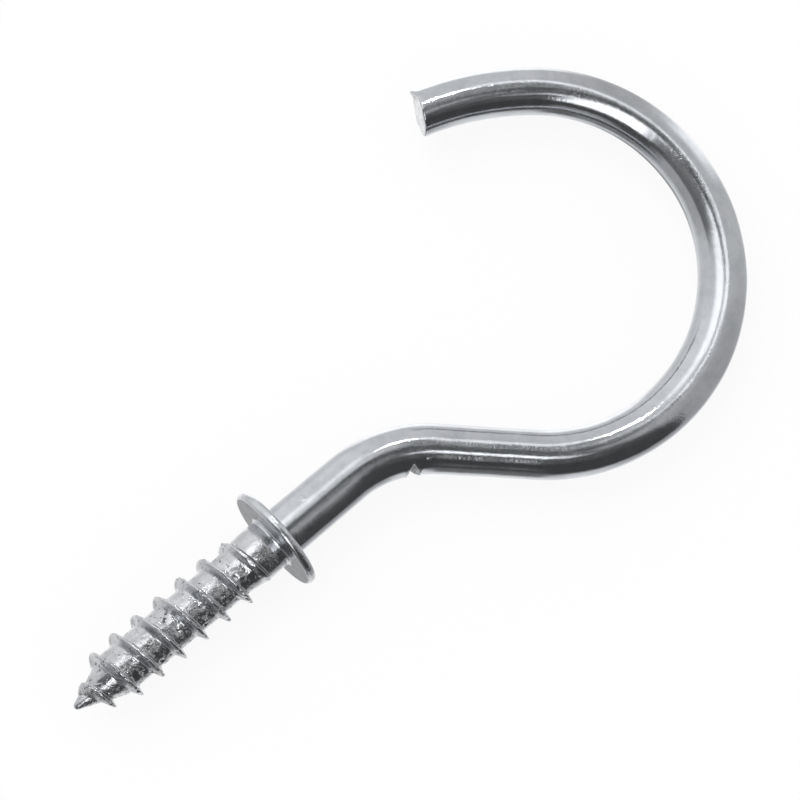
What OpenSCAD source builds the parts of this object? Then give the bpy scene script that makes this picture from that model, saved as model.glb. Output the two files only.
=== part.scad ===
// Shouldered cup hook: one length of steel wire with a collar upset on it, a wood-screw thread
// rolled on one side of the collar, and a bow bent on the other. All sizes are in millimetres.
// The origin is at the middle of the collar's seat, the face that meets the wood.
// The screw runs along -X to its tip, and the wire is bent in the XY plane.

/* [Wire] */
// Diameter of the wire in the bends and the bow
wire_d = 3.8; // [3.2:0.05:4.6]
// Diameter of the shank where it leaves the collar, thickened by the heading
shank_d = 4; // [3.2:0.05:4.8]

/* [Bends] */
// Straight shank from the collar's seat to the neck bend
shank_len = 7.5; // [4:0.1:12]
// Centreline radius of the neck bend
neck_bend_r = 10; // [6:0.1:16]
// Angle of the neck bend
neck_bend_a = 43; // [30:0.5:55]
// Straight throat between the neck bend and the bow
throat_len = 7.6; // [4:0.1:12]
// Centreline radius of the bow
bow_r = 14.2; // [10:0.1:20]
// Angle of the bow
bow_a = 185; // [140:1:225]
// Centreline radius of the last stretch, which opens the mouth
mouth_r = 25; // [15:0.5:40]
// Angle of that last stretch
mouth_a = 20.5; // [10:0.5:30]
// How far the sheared end is out of square, its inner side left longer
shear_skew = 7; // [0:1:10]

/* [Collar] */
// Outside diameter of the collar
collar_d = 8.5; // [7.2:0.1:11]
// Thickness of the collar
collar_t = 0.75; // [0.5:0.05:1.2]
// Radius of the fillet between the seat and the neck
seat_fillet_r = 0.3; // [0.2:0.05:0.4]
// Radius of the fillet between the collar's back and the shank
back_fillet_r = 0.25; // [0.15:0.05:0.4]

/* [Screw] */
// Length of the screw from the collar's seat to the tip
screw_len = 19.4; // [15:0.1:24]
// Diameter of the plain neck under the collar
neck_d = 4.1; // [3.3:0.05:4.9]
// Diameter over the thread's crest
thread_d = 5; // [4.1:0.05:6]
// Diameter of the core between the turns
core_d = 3.6; // [2.9:0.05:4.3]
// Distance from one turn of the thread to the next
thread_pitch = 2.15; // [1.7:0.05:2.6]
// Width of the ridge at its crest
crest_w = 0.2; // [0.12:0.02:0.3]
// Slope of the ridge's face towards the tip, from square to the axis
lead_flank_a = 32; // [25:1:39]
// Slope of the ridge's face towards the collar, from square to the axis
load_flank_a = 13; // [8:1:18]
// Width of the fillet at the ridge's foot
root_w = 0.12; // [0.08:0.02:0.2]
// How much of a turn the ridge takes to reach its full height at the point
thread_rise = 0.7; // [0.5:0.05:1]
// Distance from the seat to where the thread begins to fade
fade_start = 4.4; // [3.6:0.1:5.6]
// Distance from the seat to where the thread has faded out
fade_end = 1.4; // [1:0.1:2]
// Half angle of the conical point
point_a = 23; // [18:1:28]
// Radius of the rounded tip
tip_r = 0.3; // [0.2:0.05:0.4]

/* [Nick] */
// Depth of the nick on the inside of the neck bend
nick_depth = 0.65; // [0.3:0.05:0.8]
// Width of the nick where it opens
nick_w = 1.2; // [0.8:0.1:1.6]
// How far along the neck bend the nick lies, as a share of the bend
nick_place = 0.7; // [0.6:0.05:0.9]
// Turn of the nick round the wire, from the inside of the bend towards +Z
nick_turn = 2; // [-10:2:20]

/* [Hidden] */
$fn = 96;

wire_r = wire_d / 2;
shank_r = shank_d / 2;
collar_r = collar_d / 2;
rim_r = collar_t / 2;
neck_r = neck_d / 2;
core_r = core_d / 2;
ridge_h = (thread_d - core_d) / 2;

// Points in each rounded corner of the turned collar.
ARC_STEPS = 8;
// Steps in one turn of the thread, and rings on the rounded tip.
TURN_STEPS = 48;
TIP_RINGS = 3;
// The wire is bent this angle further than the mouth, and then cut to length.
OVER_A = 3;
// The fillet at the seat stands this much clear of the neck's skin.
NECK_CLEAR = 0.04;
// The screw's skin ends at the middle of the collar's thickness.
screw_root = collar_t / 2;

// The tip's sphere runs into the cone at this distance behind the tip, and at this radius.
tangent_x = tip_r * (1 - sin(point_a));
tangent_r = tip_r * cos(point_a);

// Half widths of the ridge's two sides at its foot.
lead_w = crest_w / 2 + ridge_h * tan(lead_flank_a);
load_w = crest_w / 2 + ridge_h * tan(load_flank_a);

// The ridge across one pitch, from its foot on the tip side to the foot of the next turn.
// Each point is a distance from the crest's middle, and a share of the ridge's height.
foot_share = 0.15;
shoulder_share = 0.93;
valley_from = load_w + root_w;
valley_to = thread_pitch - lead_w - root_w;
RIDGE = [
    [-lead_w - root_w, 0],
    [-lead_w + foot_share * (lead_w - crest_w / 2), foot_share],
    [-crest_w / 2, shoulder_share],
    [0, 1],
    [crest_w / 2, shoulder_share],
    [load_w - foot_share * (load_w - crest_w / 2), foot_share],
    [valley_from, 0],
    [(valley_from + valley_to) / 2, 0]
];
RIDGE_POINTS = len(RIDGE);

// The skin's first edge starts just behind the rounded tip, and its last ends short of its root.
skin_from = tangent_x + tip_r / 4;
crest_from = skin_from - RIDGE[0][0];
step_x = thread_pitch / TURN_STEPS;
ROWS = floor((screw_len + screw_root - skin_from) / step_x) - TURN_STEPS - 1;
// The crest crosses the +Y side at this distance behind the tip, and once in every pitch after it.
CREST_AT_Y = 1.27;

// Smooth rise from 0 to 1 as x goes from a to b.
function rise(x, a, b) =
    let (t = max(0, min(1, (x - a) / (b - a))))
    t * t * (3 - 2 * t);

// Share of the thread that has faded out at distance x behind the tip.
function faded(x) = rise(x, screw_len - fade_start, screw_len - fade_end);

// Radius of the core at distance x behind the tip: the point's cone, the core, then the neck.
function core_at(x) =
    min(tangent_r + (x - tangent_x) * tan(point_a), core_r + (neck_r - core_r) * faded(x));

// Height of the ridge at distance x behind the tip, so many rows after its start.
function ridge_at(x, row) =
    ridge_h * sin(90 * min(1, row / TURN_STEPS / thread_rise)) * (1 - faded(x));

// A point at distance x behind the tip, radius r and angle a round the screw.
function screw_point(x, r, a) = [x - screw_len, r * cos(a), r * sin(a)];

function row_angle(row) = 360 * (crest_from + row * step_x - CREST_AT_Y) / thread_pitch;

function skin_point(row, j) =
    let (x = crest_from + row * step_x + RIDGE[j][0])
    screw_point(x, core_at(x) + ridge_at(x, row) * RIDGE[j][1], row_angle(row));

function ring(x, r) = [for (i = [0 : TURN_STEPS - 1]) screw_point(x, r, row_angle(i))];

// Places of the points in the list: the tip, its rings, the rows, the last edge, the root ring.
SKIN_AT = 1 + TIP_RINGS * TURN_STEPS;
EDGE_AT = SKIN_AT + (ROWS + 1) * RIDGE_POINTS;
ROOT_AT = EDGE_AT + TURN_STEPS;
function tip_id(k, i) = 1 + (k - 1) * TURN_STEPS + i % TURN_STEPS;
function root_id(row) = ROOT_AT + row % TURN_STEPS;
function skin_id(row, j) =
    j == RIDGE_POINTS ? skin_id(row + TURN_STEPS, 0)
    : row > ROWS ? EDGE_AT + row - ROWS - 1
    : SKIN_AT + row * RIDGE_POINTS + j;

// Two triangles between four points that lie in order round the patch.
function patch(a, b, c, d) = [[a, d, c], [a, c, b]];

// Triangles from one point to each step of a chain.
function fan(hub, chain) = [for (k = [0 : len(chain) - 2]) [hub, chain[k + 1], chain[k]]];

// The screw is one closed skin. Its rows follow the thread, so that the ridge has no steps.
module screw() {
    last = TURN_STEPS - 1;
    points = concat(
        [screw_point(0, 0, 0)],
        [for (k = [1 : TIP_RINGS])
            let (a = (90 - point_a) * k / TIP_RINGS)
            each ring(tip_r * (1 - cos(a)), tip_r * sin(a))],
        [for (row = [0 : ROWS]) for (j = [0 : RIDGE_POINTS - 1]) skin_point(row, j)],
        [for (row = [ROWS + 1 : ROWS + TURN_STEPS]) skin_point(row, 0)],
        ring(screw_len + screw_root, neck_r)
    );
    tip_faces = [for (i = [0 : last]) [0, tip_id(1, i), tip_id(1, i + 1)]];
    ring_faces = [for (k = [1 : TIP_RINGS - 1]) for (i = [0 : last])
        each patch(tip_id(k, i), tip_id(k, i + 1), tip_id(k + 1, i + 1), tip_id(k + 1, i))];
    first_faces = [for (i = [0 : last - 1])
        each patch(tip_id(TIP_RINGS, i), tip_id(TIP_RINGS, i + 1), skin_id(i + 1, 0), skin_id(i, 0))];
    first_step = fan(skin_id(last, 0), concat(
        [tip_id(TIP_RINGS, last), tip_id(TIP_RINGS, 0)],
        [for (j = [0 : RIDGE_POINTS]) skin_id(0, j)]
    ));
    skin_faces = [for (row = [0 : ROWS - 1]) for (j = [0 : RIDGE_POINTS - 1])
        each patch(skin_id(row, j), skin_id(row + 1, j), skin_id(row + 1, j + 1), skin_id(row, j + 1))];
    last_faces = [for (row = [ROWS + 1 : ROWS + last])
        each patch(skin_id(row, 0), skin_id(row + 1, 0), root_id(row + 1), root_id(row))];
    last_step = fan(skin_id(ROWS + 1, 0), concat(
        [root_id(ROWS + 1), root_id(ROWS)],
        [for (j = [RIDGE_POINTS : -1 : 0]) skin_id(ROWS, j)]
    ));
    root_face = [[for (i = [last : -1 : 0]) root_id(i)]];
    polyhedron(points, concat(tip_faces, ring_faces, first_faces, first_step, skin_faces,
        last_faces, last_step, root_face));
}

// Points of an arc about [cx, cy], from angle a0 to a1.
function arc(cx, cy, r, a0, a1) =
    [for (k = [0 : ARC_STEPS]) let (a = a0 + (a1 - a0) * k / ARC_STEPS) [cx + r * cos(a), cy + r * sin(a)]];

// The collar with the straight shank behind it, turned from one outline of radius and height.
module collar_and_shank() {
    fillet_at = neck_r + NECK_CLEAR + seat_fillet_r;
    outline = concat(
        [[0, -seat_fillet_r]],
        arc(fillet_at, -seat_fillet_r, seat_fillet_r, 180, 90),
        arc(collar_r - rim_r, rim_r, rim_r, -90, 90),
        arc(shank_r + back_fillet_r, collar_t + back_fillet_r, back_fillet_r, 270, 180),
        [[wire_r, shank_len], [0, shank_len]]
    );
    rotate([0, 90, 0]) rotate_extrude() polygon(outline);
}

// A bend that starts at the origin along +X: to the left (+Y) for side 1, to the right for side -1.
module bend(r, a, side) {
    mirror([0, side < 0 ? 1 : 0, 0])
        translate([0, r, 0])
            rotate([0, 0, -90])
                rotate_extrude(angle = a)
                    translate([r, 0]) circle(d = wire_d);
}

// Moves its children to the end of such a bend.
module after_bend(r, a, side) {
    translate([0, side * r, 0]) rotate([0, 0, side * a]) translate([0, -side * r, 0]) children();
}

// Moves its children to where the wire's last stretch begins.
module at_mouth() {
    translate([shank_len, 0, 0])
        after_bend(neck_bend_r, neck_bend_a, -1)
            translate([throat_len, 0, 0])
                after_bend(bow_r, bow_a, 1) children();
}

// The bent wire, each stretch starting where the one before it ends. The last runs past the cut.
module bent_wire() {
    translate([shank_len, 0, 0]) {
        bend(neck_bend_r, neck_bend_a, -1);
        after_bend(neck_bend_r, neck_bend_a, -1) {
            rotate([0, 90, 0]) cylinder(h = throat_len, d = wire_d);
            translate([throat_len, 0, 0]) bend(bow_r, bow_a, 1);
        }
    }
    at_mouth() bend(mouth_r, mouth_a + OVER_A, 1);
}

// What the shears took off beyond the end of the wire.
module offcut() {
    at_mouth()
        after_bend(mouth_r, mouth_a, 1)
            rotate([0, 0, -shear_skew])
                translate([0, -wire_d, -wire_d]) cube(wire_d * 2);
}

// The groove that a bending tool left across the inside of the neck bend.
module nick() {
    out = wire_r / 2;
    half_w = nick_w / 2 * (nick_depth + out) / nick_depth;
    translate([shank_len, 0, 0])
        after_bend(neck_bend_r, neck_bend_a * nick_place, -1)
            rotate([-nick_turn, 0, 0])
                linear_extrude(height = wire_d * 2, center = true)
                    polygon([[0, nick_depth - wire_r], [-half_w, -wire_r - out], [half_w, -wire_r - out]]);
}

module cup_hook() {
    color("silver") difference() {
        union() {
            screw();
            collar_and_shank();
            bent_wire();
        }
        nick();
        offcut();
    }
}

cup_hook();
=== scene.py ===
"""A shouldered cup hook of bright zinc plated wire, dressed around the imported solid.

The hook is two closed skins that ride on the root body: the rolled screw, and the collar with the
bent wire. Lengths are in millimetres, and the mesh makers turn them into metres. The screw runs
along -X from the collar's seat, and the wire is bent in the XY plane.
"""

import math

import bpy
from mathutils import Matrix, Vector, noise


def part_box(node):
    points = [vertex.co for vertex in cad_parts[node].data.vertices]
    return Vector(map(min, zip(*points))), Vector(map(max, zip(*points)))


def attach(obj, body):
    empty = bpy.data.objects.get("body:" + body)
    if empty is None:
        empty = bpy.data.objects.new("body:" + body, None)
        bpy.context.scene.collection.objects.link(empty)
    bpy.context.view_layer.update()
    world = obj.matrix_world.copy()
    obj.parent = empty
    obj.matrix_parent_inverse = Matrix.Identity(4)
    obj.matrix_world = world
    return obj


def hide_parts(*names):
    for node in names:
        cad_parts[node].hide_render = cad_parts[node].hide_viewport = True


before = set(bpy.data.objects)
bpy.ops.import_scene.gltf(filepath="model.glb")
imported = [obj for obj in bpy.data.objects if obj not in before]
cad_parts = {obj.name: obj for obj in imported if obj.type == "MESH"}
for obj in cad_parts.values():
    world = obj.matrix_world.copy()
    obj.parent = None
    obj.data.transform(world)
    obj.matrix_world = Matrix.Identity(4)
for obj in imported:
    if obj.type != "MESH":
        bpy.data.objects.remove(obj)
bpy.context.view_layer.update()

MM = 0.001
HOOK = "cup_hook"

# Sizes read from the solid's box.
box_low, box_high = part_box(HOOK)
SCREW_LEN = -box_low.x / MM
COLLAR_R = box_high.z / MM

# Wire: distance along the centreline from the collar's seat as a share, and diameter there.
WIRE_WIDTHS = [(0.0, 4.04), (0.12, 3.94), (0.25, 3.8), (0.48, 3.94), (0.72, 3.7), (1.0, 3.64)]
SHANK_LEN = 7.5
NECK_BEND_R = 10.0
NECK_BEND_A = math.radians(43)
THROAT_LEN = 7.6
BOW_R = 14.2
BOW_A = math.radians(185)
MOUTH_R = 25.0
MOUTH_A = math.radians(20.8)

# Unevenness, here and below, is a list of (height, size, seed).
WIRE_WAVES = [(0.012, 3.0, 31), (0.004, 1.1, 32)]

# Small dents in the wire: distance along, turn from the left side towards +Z in degrees, half
# length and half width. Their depth is a multiple of the wire's bump distance.
DENTS = [
    (3.6, 58, 0.2, 0.26),
    (14.1, 122, 0.2, 0.1),
    (49.0, 114, 0.45, 0.07),
    (46.8, 150, 0.5, 0.12),
]
DENT_DEPTH = 1.8

# Collar
COLLAR_T = 0.75
RIM_ROUND = 0.29
SEAT_FILLET_R = 0.3
BACK_FILLET_R = 0.3
NECK_R = 2.05
SHANK_R = WIRE_WIDTHS[0][1] / 2
COLLAR_WAVES = [(0.02, 2.5, 21)]
COLLAR_NOISE_R = 4
FLANGE_FROM, FLANGE_FULL = 2.6, 4

# How the collar's skin starts inside the screw's neck
LAP_LEN = 0.15
LAP_INSET = 0.25
LAP_EDGE = 0.02

# Thread
CORE_R = 1.8
RIDGE_H = 0.7
THREAD_PITCH = 2.15
CREST_W = 0.16
LEAD_W = CREST_W / 2 + RIDGE_H * math.tan(math.radians(32))
LOAD_W = CREST_W / 2 + RIDGE_H * math.tan(math.radians(13))
ROOT_W = 0.14
RIDGE_ROUND = 0.13
FLANK_HOLLOW = 0.06
CREST_AT_Y = 1.27
THREAD_RISE = 0.7
FADE_START = 4.4
FADE_END = 1.4
POINT_A = math.radians(23)
TIP_R = 0.3
LEAST_R = 0.15

# Rolled skin of the thread: nodules and tears that lie in patches, rougher on the ridge and where
# the thread runs out. Each EDGE is the pair of values between which a mask rises from 0 to 1.
NODULES = [(0.6, 0.42, 1), (0.4, 0.19, 2)]
NODULE_H = 0.09
TEAR_DEPTH = 0.12
TEAR_SIZE, TEAR_SEED = 0.42, 9
TEAR_EDGE = (0.28, 0.4)
PATCH_SIZE, PATCH_SEED = 1.1, 4
PATCH_EDGE = (-0.25, 0.35)
SMOOTH_SHARE = 0.13
CORE_ROUGH = 0.45
RIDGE_ROUGH = 0.95
FLANK_EDGE = (0.02, 0.35)
RUN_OUT_ROUGH = 0.9
RUN_OUT_EDGE = (SCREW_LEN - 5.2, SCREW_LEN - 4.0)
TIP_CALM_EDGE = (0.4, 1.2)
NECK_CALM_EDGE = (SCREW_LEN - 2.7, SCREW_LEN - 1.8)

# The ridge's own waver in height and lean, read on a ring outside the thread
RIDGE_WAVER = [(0.07, 1.3, 5)]
RIDGE_LEAN = [(0.05, 1.6, 6)]
RIDGE_NOISE_R = 3
LOW_RIDGE = 0.1
CREST_SWAY = 0.5

# Nick on the inside of the neck bend, and its raised lips
NICK_PLACE = 0.7
NICK_AT = SHANK_LEN + NECK_BEND_R * NECK_BEND_A * NICK_PLACE
NICK_DEPTH = 0.65
NICK_W = 1.2
NICK_TURN = math.pi - math.radians(2)
NICK_RAGGED = [(0.06, 0.3, 12)]
NICK_NOISE_R = 2
NICK_REACH = 1.4 * NICK_W
NICK_SIDE = 0.2
NICK_SHOWS = 0.05
LIP_H = 0.03
LIP_OUT = 0.1
LIP_WIDTH = 0.12
LIP_EDGE = (0.8, 0.97)

# Sheared end, with the burr on the outside of the bow
SHEAR_SKEW = math.radians(9)
SHEAR_TILT = 0.045
SHEAR_RUN = 2.2
EDGE_R = 0.14
BURR_OUT = 0.33
BURR_UP = 0.06
BURR_AT = 0.93 * math.pi
BURR_WIDTH = 0.45
END_R = WIRE_WIDTHS[-1][1] / 2
BURR_EDGE = (0.6 * END_R, END_R - 0.5 * EDGE_R)
END_TEAR = [(0.04, 0.7, 41), (0.02, 0.25, 42)]

# How finely the skins are made
TURN_STEPS = 144
AROUND = 128
RING_STEP = 0.32
FINE_STEP = 0.06
FIRST_RING_GAP = 0.15
TIP_RINGS = 5
CORNER_STOPS = 8
SEAT_STOPS = 8
BACK_STOPS = 7
EDGE_STOPS = 6
END_SHARES = (0.85, 0.65, 0.45, 0.25, 0.1)
LEAD_STOPS, CREST_STOPS, LOAD_STOPS, CORE_STOPS = 11, 4, 7, 8
CREST_GAP = 0.03
FOOT_GAP = 0.1

# Camera, from the photograph: the point it looks at, its distance, angles and lens
CAMERA_AIM = Vector((14.57, 1.98, 0.0))
CAMERA_DISTANCE = 311.8
CAMERA_AZIMUTH = math.radians(-173.5)
CAMERA_ELEVATION = math.radians(77.2)
CAMERA_ROLL = math.radians(43.3)
CAMERA_LENS = 184.9
SENSOR = 36.0
NEAREST, FARTHEST = 0.01, 10.0


def rise(x, a, b):
    """Smooth rise from 0 to 1 as x goes from a to b."""
    t = max(0.0, min(1.0, (x - a) / (b - a)))
    return t * t * (3 - 2 * t)


def hump(x, middle, width):
    """Rounded hump of height 1 at the middle, which dies out over the width."""
    return math.exp(-((x - middle) / width) ** 2)


def soft_clip(t, w):
    """Holds t between 0 and 1, with both corners rounded over w."""
    if t <= -w:
        return 0.0
    if t < w:
        return (t + w) ** 2 / (4 * w)
    if t < 1 - w:
        return t
    if t < 1 + w:
        return 1 - (1 + w - t) ** 2 / (4 * w)
    return 1.0


def spread(a, b, count):
    """Evenly spaced stops from a to b, both ends kept."""
    return [a + (b - a) * k / (count - 1) for k in range(count)]


def between(stops, t):
    """Smoothly read value at t from a list of (place, value)."""
    for (t0, v0), (t1, v1) in zip(stops, stops[1:]):
        if t <= t1:
            return v0 + (v1 - v0) * rise(t, t0, t1)
    return stops[-1][1]


def bumps(place, size, seed):
    """Signed noise from about -1 to 1, with features of the given size in mm."""
    return noise.noise(Vector(place) / size + Vector((seed, 3.1 * seed, 7.7 * seed)))


def uneven(place, kinds):
    """Unevenness at a place, summed from a list of (height, size, seed)."""
    return sum(height * bumps(place, size, seed) for height, size, seed in kinds)


def add_piece(name, points, faces, straight, materials, material_of=None, grain=None):
    """A smooth closed mesh from points in mm. straight is each point's place on an unbent wire,
    and grain is the direction round the wire there."""
    mesh = bpy.data.meshes.new(name)
    mesh.from_pydata([Vector(p) * MM for p in points], [], faces)
    mesh.polygons.foreach_set("use_smooth", [True] * len(faces))
    if material_of:
        mesh.polygons.foreach_set("material_index", material_of)
    for material in materials:
        mesh.materials.append(material)
    place = mesh.attributes.new("straight_place", "FLOAT_VECTOR", "POINT")
    place.data.foreach_set("vector", [c for p in straight for c in p])
    if grain:
        way = mesh.attributes.new("grain_way", "FLOAT_VECTOR", "POINT")
        way.data.foreach_set("vector", [c for g in grain for c in g])
    mesh.validate()
    mesh.update()
    piece = bpy.data.objects.new(name, mesh)
    bpy.context.scene.collection.objects.link(piece)
    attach(piece, "root")
    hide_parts(HOOK)


# The bent wire's centreline: the length of each stretch and how sharply it turns

STRETCHES = [
    (SHANK_LEN, 0.0),
    (NECK_BEND_R * NECK_BEND_A, -1 / NECK_BEND_R),
    (THROAT_LEN, 0.0),
    (BOW_R * BOW_A, 1 / BOW_R),
    (MOUTH_R * MOUTH_A, 1 / MOUTH_R),
]
WIRE_LEN = sum(length for length, turn in STRETCHES)


def along_wire(s):
    """Centre and heading of the wire at distance s from the collar's seat."""
    x, y, heading = 0.0, 0.0, 0.0
    for length, turn in STRETCHES:
        last = (length, turn) == STRETCHES[-1]
        step = s if last else min(s, length)
        if turn:
            after = heading + step * turn
            x += (math.sin(after) - math.sin(heading)) / turn
            y -= (math.cos(after) - math.cos(heading)) / turn
            heading = after
        else:
            x += step * math.cos(heading)
            y += step * math.sin(heading)
        s -= step
    return x, y, heading


def on_wire(s, r, angle):
    """A point at distance s along, radius r, and angle from the left side towards +Z."""
    x, y, heading = along_wire(s)
    side, up = r * math.cos(angle), r * math.sin(angle)
    return (x - side * math.sin(heading), y + side * math.cos(heading), up)


# The screw: one closed skin whose rows follow the thread

SCREW_ROOT = COLLAR_T / 2
TANGENT_X = TIP_R * (1 - math.sin(POINT_A))
TANGENT_R = TIP_R * math.cos(POINT_A)
LEAD_FOOT = LEAD_W + ROOT_W
LOAD_FOOT = LOAD_W + ROOT_W

# Stops along one turn, with the crest's middle at 0 and the next turn's foot at the end
RIDGE_STOPS = (
    spread(-LEAD_FOOT, -CREST_W / 2 - CREST_GAP, LEAD_STOPS)
    + spread(-CREST_W / 2, CREST_W / 2, CREST_STOPS)
    + spread(CREST_W / 2 + CREST_GAP, LOAD_FOOT, LOAD_STOPS)
    + spread(LOAD_FOOT + FOOT_GAP, THREAD_PITCH - LEAD_FOOT - FOOT_GAP, CORE_STOPS)
)


def faded(x):
    """How far the thread has faded at distance x from the tip: 1 where it has gone."""
    return rise(x, SCREW_LEN - FADE_START, SCREW_LEN - FADE_END)


def core_at(x):
    """Radius of the core at distance x from the tip: the cone, the core and then the neck."""
    cone = TANGENT_R + (x - TANGENT_X) * math.tan(POINT_A)
    return min(cone, CORE_R + (NECK_R - CORE_R) * faded(x))


def ridge_share(u):
    """Share of the ridge's height at u from the crest's middle, where +u is towards the collar."""
    foot = LEAD_W if u < 0 else LOAD_W
    share = soft_clip((foot - abs(u)) / (foot - CREST_W / 2), RIDGE_ROUND)
    return share - FLANK_HOLLOW * math.sin(2 * math.pi * share)


def rolled_rough(place, share):
    """How far the rolled and plated skin stands out at a place: nodules, flakes and torn pits."""
    patch = rise(bumps(place, PATCH_SIZE, PATCH_SEED), *PATCH_EDGE)
    flank = CORE_ROUGH + RIDGE_ROUGH * rise(share, *FLANK_EDGE)
    torn = rise(bumps(place, TEAR_SIZE, TEAR_SEED), *TEAR_EDGE)
    run_out = 1 + RUN_OUT_ROUGH * rise(place[0], *RUN_OUT_EDGE)
    out = NODULE_H * uneven(place, NODULES) * flank * run_out - TEAR_DEPTH * torn
    return out * (SMOOTH_SHARE + (1 - SMOOTH_SHARE) * patch)


def screw_skin():
    """Points and faces of the screw, from its rounded tip to its end inside the collar."""
    skin_from = TANGENT_X + TIP_R / 4
    crest_from = skin_from - RIDGE_STOPS[0]
    step = THREAD_PITCH / TURN_STEPS
    rows = int((SCREW_LEN + SCREW_ROOT - skin_from) / step) - TURN_STEPS - 1
    across = len(RIDGE_STOPS)
    points = []

    def angle_of(row):
        return 2 * math.pi * (crest_from + row * step - CREST_AT_Y) / THREAD_PITCH

    def put(x, r, angle):
        points.append((x - SCREW_LEN, r * math.cos(angle), r * math.sin(angle)))
        return len(points) - 1

    def put_row(row, stops):
        """One row of points across the ridge, from its leading foot towards the collar."""
        crest = crest_from + row * step
        angle = angle_of(row)
        ring_place = (crest, RIDGE_NOISE_R * math.cos(angle), RIDGE_NOISE_R * math.sin(angle))
        height = RIDGE_H * math.sin(math.pi / 2 * min(1, row / TURN_STEPS / THREAD_RISE))
        height *= (1 - faded(crest)) * (1 + uneven(ring_place, RIDGE_WAVER))
        lean = uneven(ring_place, RIDGE_LEAN)
        made = []
        for u in stops:
            share = ridge_share(u) * min(1.0, height / LOW_RIDGE)
            x = crest + u
            r = core_at(x) + height * ridge_share(u)
            place = (x, r * math.cos(angle), r * math.sin(angle))
            calm = rise(x, *TIP_CALM_EDGE) * (1 - rise(x, *NECK_CALM_EDGE))
            out = rolled_rough(place, share) * calm
            moved = x + (lean + CREST_SWAY * out) * share
            made.append(put(moved, max(LEAST_R, r + out), angle))
        return made

    tip = put(0.0, 0.0, 0.0)
    rings = []
    for k in range(1, TIP_RINGS + 1):
        a = (math.pi / 2 - POINT_A) * k / TIP_RINGS
        rings.append([put(TIP_R * (1 - math.cos(a)), TIP_R * math.sin(a), angle_of(i))
                      for i in range(TURN_STEPS)])
    skin = [put_row(row, RIDGE_STOPS) for row in range(rows + 1)]
    edge = [put_row(row, RIDGE_STOPS[:1])[0] for row in range(rows + 1, rows + 1 + TURN_STEPS)]
    root = [put(SCREW_LEN + SCREW_ROOT, NECK_R, angle_of(i)) for i in range(TURN_STEPS)]

    def skin_id(row, j):
        """Point j of a row. The last one is the first of the row one turn on."""
        if j == across:
            return skin_id(row + TURN_STEPS, 0)
        return edge[row - rows - 1] if row > rows else skin[row][j]

    def root_id(row):
        return root[row % TURN_STEPS]

    faces = []

    def patch(a, b, c, d):
        faces.append((a, d, c, b))

    def fan(hub, chain):
        faces.extend((hub, after, before) for before, after in zip(chain, chain[1:]))

    for i in range(TURN_STEPS):
        after = (i + 1) % TURN_STEPS
        faces.append((tip, rings[0][i], rings[0][after]))
        for inner, outer in zip(rings, rings[1:]):
            patch(inner[i], inner[after], outer[after], outer[i])
    for i in range(TURN_STEPS - 1):
        patch(rings[-1][i], rings[-1][i + 1], skin_id(i + 1, 0), skin_id(i, 0))
    first_row = [skin_id(0, j) for j in range(across + 1)]
    fan(skin_id(TURN_STEPS - 1, 0), [rings[-1][-1], rings[-1][0]] + first_row)
    for row in range(rows):
        for j in range(across):
            patch(skin_id(row, j), skin_id(row + 1, j),
                  skin_id(row + 1, j + 1), skin_id(row, j + 1))
    for row in range(rows + 1, rows + TURN_STEPS):
        patch(skin_id(row, 0), skin_id(row + 1, 0), root_id(row + 1), root_id(row))
    last_row = [skin_id(rows, j) for j in range(across, -1, -1)]
    fan(skin_id(rows + 1, 0), [root_id(rows + 1), root_id(rows)] + last_row)
    faces.append(tuple(reversed(root)))
    return points, faces


# The collar, the shank and the bent wire: one closed skin of rings

# Which of the wire's materials a face gets
ON_WIRE, ON_CUT, IN_NICK, ON_COLLAR = range(4)

# The headed finish ends this many rings before the end of the back fillet.
HEADED_SHORT = 5


def arc(cx, cr, r, from_a, to_a):
    """Stops of a round corner in the collar's outline, as (distance along, radius)."""
    return [(cx + r * math.sin(math.radians(a)), cr + r * math.cos(math.radians(a)))
            for a in spread(from_a, to_a, CORNER_STOPS)]


def collar_outline():
    """The turned outline from inside the neck, over the seat, round the rim, to the shank."""
    rim = RIM_ROUND
    flat_from, flat_to = NECK_R + SEAT_FILLET_R, COLLAR_R - rim
    back_to = SHANK_R + BACK_FILLET_R
    return (
        [(-SEAT_FILLET_R - LAP_LEN, NECK_R - LAP_INSET),
         (-SEAT_FILLET_R - LAP_EDGE, NECK_R - LAP_EDGE)]
        + arc(-SEAT_FILLET_R, flat_from, SEAT_FILLET_R, 180, 90)
        + [(0.0, r) for r in spread(flat_from, flat_to, SEAT_STOPS)[1:-1]]
        + arc(rim, flat_to, rim, -90, 0)
        + arc(COLLAR_T - rim, flat_to, rim, 0, 90)
        + [(COLLAR_T, r) for r in spread(flat_to, back_to, BACK_STOPS)[1:-1]]
        + arc(COLLAR_T + BACK_FILLET_R, back_to, BACK_FILLET_R, -90, -180)
    )


def ring_stops():
    """Distances along the wire at which it gets a ring, closer together near the nick."""
    stops = [COLLAR_T + BACK_FILLET_R + FIRST_RING_GAP]
    while stops[-1] < WIRE_LEN - EDGE_R - RING_STEP:
        near_nick = abs(stops[-1] - NICK_AT) < NICK_W
        stops.append(stops[-1] + (FINE_STEP if near_nick else RING_STEP))
    return stops + [WIRE_LEN - EDGE_R]


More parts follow.
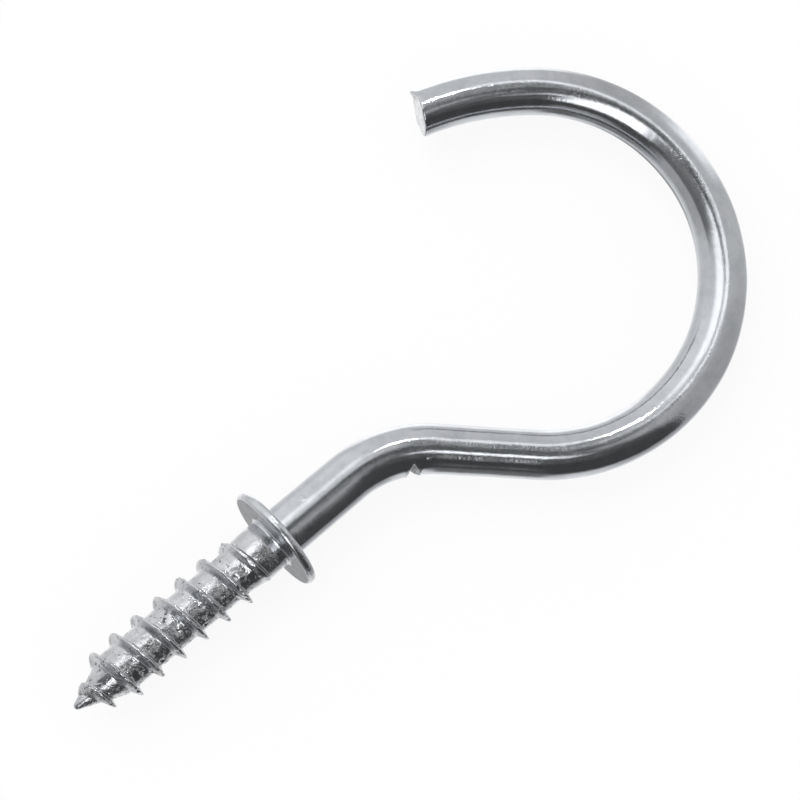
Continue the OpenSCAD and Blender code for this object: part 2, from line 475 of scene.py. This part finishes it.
def nicked(r, s, angle):
    """Radius of the wire with the nick cut into it and its lips raised."""
    turn = math.cos(angle - NICK_TURN)
    if turn < NICK_SIDE or abs(s - NICK_AT) > NICK_REACH:
        return r
    place = (s, NICK_NOISE_R * math.cos(angle), NICK_NOISE_R * math.sin(angle))
    ragged = uneven(place, NICK_RAGGED)
    run = max(0.0, abs(s - NICK_AT) + ragged)
    floor = r - NICK_DEPTH + run * NICK_DEPTH / (NICK_W / 2)
    lip = LIP_H * hump(run - NICK_W / 2, LIP_OUT, LIP_WIDTH) * rise(turn, *LIP_EDGE)
    return min(r + lip, floor / turn)


def sheared(s, r, angle):
    """Distance along near the cut end, where the shears left the inner side longer."""
    out = math.tan(SHEAR_SKEW) * math.cos(angle) + SHEAR_TILT * math.sin(angle)
    return s + out * r * rise(s, WIRE_LEN - SHEAR_RUN, WIRE_LEN - EDGE_R)


def wire_skin():
    """Points and faces of the collar with the wire, each point's place on the unbent wire, each
    face's material, and the direction round the wire at each point."""
    angles = [2 * math.pi * i / AROUND for i in range(AROUND)]
    points, straight, grain, rings = [], [], [], []

    def put(s, r, angle):
        points.append(on_wire(s, r, angle))
        straight.append((s, r * math.cos(angle), r * math.sin(angle)))
        heading = along_wire(s)[2]
        grain.append((math.sin(angle) * math.sin(heading),
                      -math.sin(angle) * math.cos(heading),
                      math.cos(angle)))
        return len(points) - 1

    outline = collar_outline()
    for x, r in outline:
        ring = []
        for a in angles:
            place = (x, COLLAR_NOISE_R * math.cos(a), COLLAR_NOISE_R * math.sin(a))
            wave = uneven(place, COLLAR_WAVES) * rise(r, FLANGE_FROM, FLANGE_FULL)
            ring.append(put(x, r + wave, a))
        rings.append(ring)
    headed_rings = len(rings) - HEADED_SHORT

    for s in ring_stops():
        r = between(WIRE_WIDTHS, s / WIRE_LEN) / 2
        ring = []
        for a in angles:
            wave = uneven((s, r * math.cos(a), r * math.sin(a)), WIRE_WAVES)
            ring.append(put(sheared(s, r, a), nicked(r + wave, s, a), a))
        rings.append(ring)

    def put_end(s, r, a):
        """A point near the cut end, with the shears' burr on the outside of the bow."""
        burr = hump(a, BURR_AT, BURR_WIDTH) * rise(r, *BURR_EDGE)
        torn = uneven((s, r * math.cos(a), r * math.sin(a)), END_TEAR)
        return put(sheared(s, r, a) + BURR_OUT * burr + torn, r + BURR_UP * burr, a)

    for turn in spread(0, math.pi / 2, EDGE_STOPS)[1:]:
        s = WIRE_LEN - EDGE_R + EDGE_R * math.sin(turn)
        r = END_R - EDGE_R + EDGE_R * math.cos(turn)
        rings.append([put_end(s, r, a) for a in angles])
    side_rings = len(rings)
    for share in END_SHARES:
        rings.append([put_end(WIRE_LEN, (END_R - EDGE_R) * share, a) for a in angles])
    neck_hub = put(outline[0][0], 0.0, 0.0)
    end_hub = put(WIRE_LEN, 0.0, 0.0)

    def in_nick(v):
        s, across, up = straight[v]
        whole = between(WIRE_WIDTHS, s / WIRE_LEN) / 2
        return abs(s - NICK_AT) < NICK_W and math.hypot(across, up) < whole - NICK_SHOWS

    def finish_of(k, a, b):
        """Which material the face between rings k and k + 1 gets, from two of its corners."""
        if k < headed_rings:
            return ON_COLLAR
        if k + 1 >= side_rings:
            return ON_CUT
        return IN_NICK if in_nick(a) and in_nick(b) else ON_WIRE

    faces, material_of = [], []
    for k, (near, far) in enumerate(zip(rings, rings[1:])):
        for i in range(AROUND):
            j = (i + 1) % AROUND
            faces.append((near[i], far[i], far[j], near[j]))
            material_of.append(finish_of(k, near[i], far[j]))
    for i in range(AROUND):
        j = (i + 1) % AROUND
        faces.append((neck_hub, rings[0][i], rings[0][j]))
        material_of.append(ON_COLLAR)
        faces.append((end_hub, rings[-1][j], rings[-1][i]))
        material_of.append(ON_CUT)
    return points, faces, straight, material_of, grain


# Materials

# Looks of the zinc plate. light and dark are colours, roughness is (least, most), bump is the
# bump's distance, and drawn is the share of the shine that fine cross ripples spread out along
# the wire.
FINISHES = {
    "bright_wire": dict(
        light=(0.585, 0.602, 0.63), dark=(0.505, 0.522, 0.55), roughness=(0.06, 0.11),
        grain=0.35, fine=0.52, lines=0.1, dings=0.25, bump=0.012, drawn=0.1, dents=DENTS),
    "headed_collar": dict(
        light=(0.60, 0.615, 0.64), dark=(0.49, 0.505, 0.53), roughness=(0.06, 0.2),
        grain=1.3, fine=0.6, lines=0.0, dings=0.6, bump=0.022),
    "rolled_thread": dict(
        light=(0.625, 0.635, 0.655), dark=(0.45, 0.46, 0.48), roughness=(0.04, 0.16),
        grain=0.9, fine=0.4, lines=0.0, dings=0.3, pits=0.9, bump=0.035),
    "cut_end": dict(
        light=(0.86, 0.87, 0.88), dark=(0.66, 0.67, 0.69), roughness=(0.2, 0.4),
        grain=1.4, fine=0.5, lines=0.0, dings=1.0, bump=0.04),
    # The nick's dark colour is painted shade in the cut, mottled with the lighter tone of torn
    # steel.
    "torn_nick_painted_shade": dict(
        light=(0.78, 0.78, 0.79), dark=(0.15, 0.15, 0.16), roughness=(0.15, 0.4),
        grain=2.5, fine=1.5, lines=0.0, dings=0.0, bump=0.08),
}
PIT_COLOUR = (0.10, 0.10, 0.11)
WORN_EDGE = (0.35, 0.75)
PIT_EDGE = (0.3, 1.0)
RIPPLE_ROUGH = 0.25
RIPPLE_STRETCH = 0.85


def tree_of(owner):
    """Empty node tree of a material or world."""
    owner.use_nodes = True
    tree = owner.node_tree
    tree.nodes.clear()
    return tree


def put_node(tree, kind, **settings):
    """A new node with the given settings."""
    node = tree.nodes.new(kind)
    for name, value in settings.items():
        setattr(node, name, value)
    return node


def math_node(tree, operation, a, b=None, c=None):
    """A math node; each of a, b and c is a number or another node's output."""
    node = put_node(tree, "ShaderNodeMath", operation=operation)
    for i, value in enumerate((a, b, c)):
        if value is None:
            continue
        if isinstance(value, (int, float)):
            node.inputs[i].default_value = value
        else:
            tree.links.new(value, node.inputs[i])
    return node.outputs[0]


def vector_node(tree, operation, a, b=None):
    """A vector math node on one or two outputs of other nodes."""
    node = put_node(tree, "ShaderNodeVectorMath", operation=operation)
    tree.links.new(a, node.inputs[0])
    if b is not None:
        tree.links.new(b, node.inputs[1])
    return node


def noise_node(tree, place, scale, detail=2.0, roughness=0.5):
    """Noise from 0 to 1, with the given number of features in a millimetre."""
    node = put_node(tree, "ShaderNodeTexNoise")
    node.inputs["Scale"].default_value = scale
    node.inputs["Detail"].default_value = detail
    node.inputs["Roughness"].default_value = roughness
    tree.links.new(place, node.inputs["Vector"])
    return node.outputs["Fac"]


def stretched(tree, place, factor):
    """The place with each of its three parts multiplied."""
    node = vector_node(tree, "MULTIPLY", place)
    node.inputs[1].default_value = factor
    return node.outputs[0]


def ramp(tree, value, low, high):
    """Smooth step of a value from 0 at low to 1 at high."""
    node = put_node(tree, "ShaderNodeMapRange", interpolation_type="SMOOTHSTEP")
    tree.links.new(value, node.inputs["Value"])
    node.inputs["From Min"].default_value = low
    node.inputs["From Max"].default_value = high
    return node.outputs["Result"]


def surface_end(tree, shader, kind="ShaderNodeOutputMaterial"):
    """Ends a tree with the given shader as its surface."""
    tree.links.new(shader, put_node(tree, kind).inputs["Surface"])


def new_group(name, vectors, numbers, results):
    """A node group, with its given values and its results. numbers are (name, default)."""
    group = bpy.data.node_groups.new(name, "ShaderNodeTree")
    face = group.interface
    for socket in vectors:
        face.new_socket(socket, in_out="INPUT", socket_type="NodeSocketVector")
    for socket, value in numbers:
        made = face.new_socket(socket, in_out="INPUT", socket_type="NodeSocketFloat")
        made.default_value = value
    for socket in results:
        face.new_socket(socket, in_out="OUTPUT", socket_type="NodeSocketFloat")
    given = put_node(group, "NodeGroupInput").outputs
    out = put_node(group, "NodeGroupOutput").inputs
    return group, given, out


def zinc_grain_group():
    """Surface of bright zinc: fine grain, drawing lines along the wire and shallow dings. The
    pits lie on the thread alone."""
    group, given, out = new_group(
        "zinc_grain", ["Place"],
        [("Grain", 1.0), ("Fine", 1.0), ("Lines", 1.0), ("Dings", 1.0), ("Pits", 0.0)],
        ["Height", "Worn", "Pitted"])
    place = given["Place"]
    grain = noise_node(group, place, scale=3.2, detail=3.0, roughness=0.6)
    fine = noise_node(group, place, scale=10.5, detail=1.0)
    along = stretched(group, place, (0.25, 5.0, 5.0))
    lines = noise_node(group, along, scale=1.0, detail=3.0, roughness=0.6)
    ding_cells = put_node(group, "ShaderNodeTexVoronoi", feature="SMOOTH_F1")
    ding_cells.inputs["Scale"].default_value = 0.9
    ding_cells.inputs["Smoothness"].default_value = 0.4
    group.links.new(place, ding_cells.inputs["Vector"])
    ding = ramp(group, ding_cells.outputs["Distance"], 0.0, 0.3)
    pit_noise = noise_node(group, place, scale=2.3, detail=4.0, roughness=0.65)
    split = put_node(group, "ShaderNodeSeparateXYZ")
    group.links.new(place, split.inputs[0])
    on_thread = ramp(group, split.outputs[0], -2.0, -3.2)
    pits = math_node(group, "MULTIPLY", ramp(group, pit_noise, 0.58, 0.68), on_thread)
    height = math_node(group, "MULTIPLY", grain, given["Grain"])
    height = math_node(group, "MULTIPLY_ADD", fine, given["Fine"], height)
    height = math_node(group, "MULTIPLY_ADD", lines, given["Lines"], height)
    height = math_node(group, "MULTIPLY_ADD", ding, given["Dings"], height)
    pitted = math_node(group, "MULTIPLY", pits, given["Pits"])
    height = math_node(group, "SUBTRACT", height, pitted)
    worn = noise_node(group, place, scale=0.7, detail=4.0, roughness=0.6)
    group.links.new(height, out["Height"])
    group.links.new(worn, out["Worn"])
    group.links.new(pitted, out["Pitted"])
    return group


def dent_group():
    """Mask of one small dent: 1 in its middle and 0 outside it."""
    group, given, out = new_group("small_dent", ["Place", "Middle", "Per Size"], [], ["Mask"])
    off = vector_node(group, "SUBTRACT", given["Place"], given["Middle"])
    sized = vector_node(group, "MULTIPLY", off.outputs[0], given["Per Size"])
    far = vector_node(group, "LENGTH", sized.outputs[0])
    group.links.new(ramp(group, far.outputs["Value"], 1.3, 0.7), out["Mask"])
    return group


def mixed_colour(tree, share, first, second):
    """Mix of two colours, each three numbers or another node's output."""
    node = put_node(tree, "ShaderNodeMix", data_type="RGBA")
    for socket, colour in ((6, first), (7, second)):
        if isinstance(colour, tuple):
            node.inputs[socket].default_value = (*colour, 1)
        else:
            tree.links.new(colour, node.inputs[socket])
    tree.links.new(share, node.inputs[0])
    return node.outputs[2]


def dented(tree, place, height, dents, dent_nodes):
    """The height with each small dent taken off it."""
    for along, turn, half_length, half_width in dents:
        r, angle = between(WIRE_WIDTHS, along / WIRE_LEN) / 2, math.radians(turn)
        dent = put_node(tree, "ShaderNodeGroup", node_tree=dent_nodes)
        tree.links.new(place, dent.inputs["Place"])
        dent.inputs["Middle"].default_value = (along, r * math.cos(angle), r * math.sin(angle))
        dent.inputs["Per Size"].default_value = (1 / half_length, 1 / half_width, 1 / half_width)
        height = math_node(tree, "MULTIPLY_ADD", dent.outputs["Mask"], -DENT_DEPTH, height)
    return height


def drawn_shine(tree, shine, colour, normal, share):
    """The shine, with a share of it spread along the wire by its fine cross ripples."""
    ripples = put_node(tree, "ShaderNodeBsdfAnisotropic", distribution="GGX")
    ripples.inputs["Roughness"].default_value = RIPPLE_ROUGH
    ripples.inputs["Anisotropy"].default_value = RIPPLE_STRETCH
    way = put_node(tree, "ShaderNodeAttribute", attribute_name="grain_way")
    tree.links.new(way.outputs["Vector"], ripples.inputs["Tangent"])
    tree.links.new(colour, ripples.inputs["Color"])
    tree.links.new(normal, ripples.inputs["Normal"])
    both = put_node(tree, "ShaderNodeMixShader")
    both.inputs[0].default_value = share
    tree.links.new(shine, both.inputs[1])
    tree.links.new(ripples.outputs[0], both.inputs[2])
    return both.outputs[0]


def zinc_material(name, grain_nodes, dent_nodes, light, dark, roughness, grain, fine, lines,
                  dings, bump, pits=0.0, drawn=0.0, dents=()):
    """One finish of the zinc plate, as FINISHES gives it."""
    material = bpy.data.materials.new(name)
    tree = tree_of(material)
    place_node = put_node(tree, "ShaderNodeAttribute", attribute_name="straight_place")
    place = place_node.outputs["Vector"]
    surface = put_node(tree, "ShaderNodeGroup", node_tree=grain_nodes)
    tree.links.new(place, surface.inputs["Place"])
    amounts = {"Grain": grain, "Fine": fine, "Lines": lines, "Dings": dings, "Pits": pits}
    for socket, value in amounts.items():
        surface.inputs[socket].default_value = value
    worn = ramp(tree, surface.outputs["Worn"], *WORN_EDGE)
    pitted = ramp(tree, surface.outputs["Pitted"], *PIT_EDGE)
    colour = mixed_colour(tree, pitted, mixed_colour(tree, worn, light, dark), PIT_COLOUR)
    rough = put_node(tree, "ShaderNodeMapRange")
    rough.inputs["To Min"].default_value, rough.inputs["To Max"].default_value = roughness
    tree.links.new(surface.outputs["Worn"], rough.inputs["Value"])
    bumped = put_node(tree, "ShaderNodeBump")
    bumped.inputs["Strength"].default_value = 1.0
    bumped.inputs["Distance"].default_value = bump * MM
    height = dented(tree, place, surface.outputs["Height"], dents, dent_nodes)
    tree.links.new(height, bumped.inputs["Height"])
    normal = bumped.outputs["Normal"]
    shader = put_node(tree, "ShaderNodeBsdfPrincipled")
    shader.inputs["Metallic"].default_value = 1.0
    tree.links.new(colour, shader.inputs["Base Color"])
    tree.links.new(rough.outputs["Result"], shader.inputs["Roughness"])
    tree.links.new(normal, shader.inputs["Normal"])
    shine = shader.outputs[0]
    if drawn:
        shine = drawn_shine(tree, shine, colour, normal, drawn)
    surface_end(tree, shine)
    return material


# The stage: a white table, a light tent that only the metal sees, and soft light on the table

TENT_R = 3000.0
TENT_COLUMNS, TENT_BANDS = 96, 48
TENT_WALL = 0.52

# Each panel of the tent, by angles in degrees: its name, middle azimuth, half width, top and
# bottom as tilt from overhead, how its middle leans with the tilt, softness of the sides and of
# the ends, and brightness. A later panel covers an earlier one. A half width of 400 runs all the
# way round, a top of -10 starts above overhead, and a bottom of 200 ends below straight down.
PANEL_SOCKETS = ("Middle", "Half Width", "Top", "Bottom", "Lean", "Side Soft", "End Soft")
TENT_PANELS = [
    ("grey_wall", -8, 26, 15, 200, 0.0, 16, 8, 0.70),
    ("pale_side", 88, 56, 12, 200, 0.0, 12, 6, 0.85),
    ("pale_cloth", 92, 22, 30, 100, 0.0, 14, 14, 1.05),
    ("key_softbox", 100, 34, 12, 42, 0.0, 9, 9, 1.75),
    ("dark_left", 168, 30, 0, 66, 0.0, 6, 3, 0.19),
    ("room_below", -130, 45, -10, 112, 0.0, 6, 8, 0.085),
    ("grey_patch", -138, 13, 76, 90, 0.0, 5, 4, 0.38),
    ("dark_room", -98, 25.5, -10, 112, 0.0, 1.5, 6, 0.07),
    ("dark_corner", -127, 9, 100, 148, 0.0, 3, 5, 0.18),
    ("left_far", 150, 35, 118, 152, 0.0, 10, 8, 0.85),
    ("under_left", -152, 14, 115, 160, 0.0, 8, 8, 0.22),
    ("room_glow", -104, 11, 114, 165, 0.0, 6, 12, 1.0),
    ("opening", 0, 400, -10, 12.3, 0.0, 1, 2, 0.11),
    ("opening_side", -42, 45, -10, 15.5, 0.0, 8, 2, 0.08),
    ("overhead_shade", -15, 12, 13, 37, 1.46, 5, 2, 0.12),
    ("thin_strip", -38, 7, 18, 45, 1.8, 3, 3, 1.7),
    ("fill_softbox", -145, 21, 3, 50, 0.0, 3, 6, 2.6),
    ("fill_tail", -106, 11, 18, 27, 0.0, 4, 2, 2.4),
    ("bright_gap", 2, 6, 72, 200, 0.0, 6, 20, 1.5),
    ("table_glow", 0, 400, 138, 200, 0.0, 1, 12, 1.05),
    ("table_left", 48, 17, 117, 150, 0.0, 8, 6, 1.6),
    # The dim patch straight down is a painted shadow: it stands for the hook's shadow on the
    # table, as the metal reflects it.
    ("hook_shadow_painted", 180, 45, 150, 200, 0.0, 20, 6, 0.42),
]

# Small cards near the hook that only the metal shows: two corners, height and brightness
CARDS = [
    ("grey_card", (24, -45), (35, -14), 100, 0.2),
    ("white_card", (45, -9), (63, 0.8), 60, 1.7),
]

# Small lamp near the hook that only the metal shows, as a thin line along the wire
LAMP_PLACE = Vector((124, 121, 200))
LAMP_SIZE = 0.013
LAMP_POWER = 0.03

# Soft light over the table, in metres and watts, and the white of the table and the room. Part
# of each white is its own, so that it looks white while the shadows stay soft.
KEY_PLACE = Vector((-0.1, 0.45, 0.8))
KEY_SIZE = 0.7
KEY_POWER = 3.0
TABLE_HALF = 3.0
TABLE_DROP = 0.05
TABLE_WHITE = 0.97
TABLE_OWN_WHITE = 0.88
ROOM_LEVEL = 0.75


def add_to_stage(name, points, faces, material, hidden_from, location=(0, 0, 0)):
    """A piece of the set from points in metres, hidden from the named kinds of rays."""
    mesh = bpy.data.meshes.new(name)
    mesh.from_pydata(points, [], faces)
    mesh.materials.append(material)
    thing = bpy.data.objects.new(name, mesh)
    thing.location = location
    for kind in hidden_from:
        setattr(thing, "visible_" + kind, False)
    bpy.context.scene.collection.objects.link(thing)


def disk_lamp(name, size, power, place, aim, hidden_from):
    """A round area lamp at a place, turned to its aim, hidden from the named kinds of rays."""
    lamp = bpy.data.lights.new(name, "AREA")
    lamp.shape = "DISK"
    lamp.size = size
    lamp.energy = power
    holder = bpy.data.objects.new(name, lamp)
    holder.location = place
    holder.rotation_mode = "QUATERNION"
    holder.rotation_quaternion = (aim - place).to_track_quat("-Z", "Y")
    for kind in hidden_from:
        setattr(holder, "visible_" + kind, False)
    bpy.context.scene.collection.objects.link(holder)


def seen_directly(tree):
    """1 for what the camera sees, in metal and through glass too, and 0 for light on things."""
    path = put_node(tree, "ShaderNodeLightPath").outputs
    shown = math_node(tree, "MAXIMUM", path["Is Glossy Ray"], path["Is Transmission Ray"])
    return math_node(tree, "MAXIMUM", path["Is Camera Ray"], shown)


def soft_panel_group():
    """Mask of one panel of the tent: 1 inside it, with soft edges, by azimuth and tilt."""
    sockets = [(name, 0.0) for name in ("Azimuth", "Tilt") + PANEL_SOCKETS]
    group, given, out = new_group("soft_panel", [], sockets, ["Mask"])
    leaned = math_node(group, "MULTIPLY_ADD", given["Tilt"], given["Lean"], given["Middle"])
    off = math_node(group, "SUBTRACT", given["Azimuth"], leaned)
    off = math_node(group, "ABSOLUTE", math_node(group, "WRAP", off, 180.0, -180.0))

    def edge(value, limit, soft):
        ratio = math_node(group, "DIVIDE", math_node(group, "SUBTRACT", limit, value), soft)
        half = math_node(group, "MULTIPLY_ADD", ratio, 0.5, 0.5)
        return ramp(group, half, 0.0, 1.0)

    side = edge(off, given["Half Width"], given["Side Soft"])
    bottom = edge(given["Tilt"], given["Bottom"], given["End Soft"])
    top = edge(math_node(group, "MULTIPLY", given["Tilt"], -1.0),
               math_node(group, "MULTIPLY", given["Top"], -1.0), given["End Soft"])
    mask = math_node(group, "MULTIPLY", side, math_node(group, "MULTIPLY", top, bottom))
    group.links.new(mask, out["Mask"])
    return group


def tent_cloth():
    """Glowing cloth whose brightness is the wall's, covered by each panel in turn."""
    material = bpy.data.materials.new("tent_cloth")
    tree = tree_of(material)
    panel_group = soft_panel_group()
    place = put_node(tree, "ShaderNodeTexCoord").outputs["Object"]
    split = put_node(tree, "ShaderNodeSeparateXYZ")
    tree.links.new(place, split.inputs[0])
    x, y, z = split.outputs
    level = put_node(tree, "ShaderNodeCombineXYZ")
    tree.links.new(x, level.inputs[0])
    tree.links.new(y, level.inputs[1])
    flat = vector_node(tree, "LENGTH", level.outputs[0])
    azimuth = math_node(tree, "DEGREES", math_node(tree, "ARCTAN2", y, x))
    tilt = math_node(tree, "DEGREES", math_node(tree, "ARCTAN2", flat.outputs["Value"], z))
    brightness = TENT_WALL
    for name, *shape, panel_level in TENT_PANELS:
        panel = put_node(tree, "ShaderNodeGroup", node_tree=panel_group, name=name, label=name)
        tree.links.new(azimuth, panel.inputs["Azimuth"])
        tree.links.new(tilt, panel.inputs["Tilt"])
        for socket, value in zip(PANEL_SOCKETS, shape):
            panel.inputs[socket].default_value = value
        mixed = put_node(tree, "ShaderNodeMix", data_type="FLOAT")
        tree.links.new(panel.outputs["Mask"], mixed.inputs[0])
        if isinstance(brightness, float):
            mixed.inputs[2].default_value = brightness
        else:
            tree.links.new(brightness, mixed.inputs[2])
        mixed.inputs[3].default_value = panel_level
        brightness = mixed.outputs[0]
    glow = put_node(tree, "ShaderNodeEmission")
    tree.links.new(brightness, glow.inputs["Strength"])
    surface_end(tree, glow.outputs[0])
    material.cycles.emission_sampling = "NONE"
    return material


def light_tent():
    """A round tent about the hook that only reflections see."""
    points, faces = [], []
    columns, bands = TENT_COLUMNS, TENT_BANDS
    for k in range(1, bands):
        a = math.pi * k / bands
        for i in range(columns):
            b = 2 * math.pi * i / columns
            way = Vector((math.sin(a) * math.cos(b), math.sin(a) * math.sin(b), math.cos(a)))
            points.append(way * TENT_R * MM)
    top, bottom = len(points), len(points) + 1
    points += [Vector((0, 0, TENT_R * MM)), Vector((0, 0, -TENT_R * MM))]
    for k in range(bands - 2):
        here, below = k * columns, (k + 1) * columns
        for i in range(columns):
            j = (i + 1) % columns
            faces.append((here + i, here + j, below + j, below + i))
    last = (bands - 2) * columns
    for i in range(columns):
        j = (i + 1) % columns
        faces.append((top, j, i))
        faces.append((bottom, last + i, last + j))
    add_to_stage("light_tent", points, faces, tent_cloth(),
                 ("camera", "diffuse", "shadow", "transmission", "volume_scatter"),
                 (CAMERA_AIM.x * MM, CAMERA_AIM.y * MM, 0))


def level_sheet(low, high, z):
    """Points and face of a level sheet between two corners."""
    (x0, y0), (x1, y1) = low, high
    return [(x0, y0, z), (x1, y0, z), (x1, y1, z), (x0, y1, z)], [(0, 1, 2, 3)]


def small_card(name, low, high, z, level):
    """A small level card near the hook, between two corners in mm, that only the metal shows."""
    material = bpy.data.materials.new(name)
    tree = tree_of(material)
    glow = put_node(tree, "ShaderNodeEmission")
    glow.inputs["Strength"].default_value = level
    surface_end(tree, glow.outputs[0])
    corners, faces = level_sheet(low, high, z)
    add_to_stage(name, [Vector(c) * MM for c in corners], faces, material,
                 ("camera", "diffuse", "shadow"))


def table(lowest):
    """A white table top just under the hook."""
    material = bpy.data.materials.new("white_table")
    tree = tree_of(material)
    lit = put_node(tree, "ShaderNodeBsdfDiffuse")
    lit.inputs["Color"].default_value = (TABLE_WHITE, TABLE_WHITE, TABLE_WHITE, 1)
    white = put_node(tree, "ShaderNodeEmission")
    share = math_node(tree, "MULTIPLY", seen_directly(tree), TABLE_OWN_WHITE)
    mixed = put_node(tree, "ShaderNodeMixShader")
    tree.links.new(share, mixed.inputs[0])
    tree.links.new(lit.outputs[0], mixed.inputs[1])
    tree.links.new(white.outputs[0], mixed.inputs[2])
    surface_end(tree, mixed.outputs[0])
    corners, faces = level_sheet((-TABLE_HALF, -TABLE_HALF), (TABLE_HALF, TABLE_HALF), 0)
    add_to_stage("table_top", corners, faces, material, ("glossy",),
                 (0, 0, lowest - TABLE_DROP * MM))


def studio():
    """The white room round the table."""
    world = bpy.data.worlds.new("white_room")
    bpy.context.scene.world = world
    tree = tree_of(world)
    strength = math_node(tree, "MULTIPLY_ADD", seen_directly(tree), 1.0 - ROOM_LEVEL, ROOM_LEVEL)
    back = put_node(tree, "ShaderNodeBackground")
    tree.links.new(strength, back.inputs["Strength"])
    back.inputs["Color"].default_value = (1, 1, 1, 1)
    surface_end(tree, back.outputs[0], "ShaderNodeOutputWorld")


def camera():
    """The camera, placed as the photograph was taken."""
    data = bpy.data.cameras.new("camera")
    data.lens = CAMERA_LENS
    data.sensor_width = SENSOR
    data.clip_start, data.clip_end = NEAREST, FARTHEST
    cam = bpy.data.objects.new("camera", data)
    back = Vector((
        math.cos(CAMERA_ELEVATION) * math.cos(CAMERA_AZIMUTH),
        math.cos(CAMERA_ELEVATION) * math.sin(CAMERA_AZIMUTH),
        math.sin(CAMERA_ELEVATION),
    ))
    across = Vector((0, 0, 1)).cross(back).normalized()
    up = back.cross(across)
    right = math.cos(CAMERA_ROLL) * across + math.sin(CAMERA_ROLL) * up
    above = back.cross(right)
    turned = Matrix((right, above, back)).transposed().to_4x4()
    place = (CAMERA_AIM + back * CAMERA_DISTANCE) * MM
    cam.matrix_world = Matrix.Translation(place) @ turned
    bpy.context.scene.collection.objects.link(cam)
    bpy.context.scene.camera = cam


# Making it all

bpy.context.scene.view_settings.view_transform = "Standard"
camera()

zinc_grain, small_dent = zinc_grain_group(), dent_group()
zinc = {name: zinc_material(name, zinc_grain, small_dent, **look)
        for name, look in FINISHES.items()}

screw_points, screw_faces = screw_skin()
add_piece("screw", screw_points, screw_faces, screw_points, [zinc["rolled_thread"]])
wire_points, wire_faces, wire_straight, wire_materials, wire_grain = wire_skin()
add_piece("collar_and_wire", wire_points, wire_faces, wire_straight,
          [zinc["bright_wire"], zinc["cut_end"], zinc["torn_nick_painted_shade"], zinc["headed_collar"]],
          wire_materials, wire_grain)

light_tent()
disk_lamp("small_lamp", LAMP_SIZE, LAMP_POWER, LAMP_PLACE * MM, CAMERA_AIM * MM,
          ("camera", "diffuse"))
for card in CARDS:
    small_card(*card)
table(box_low.z)
studio()
disk_lamp("soft_key", KEY_SIZE, KEY_POWER, KEY_PLACE, Vector((0, 0, 0)), ("glossy",))
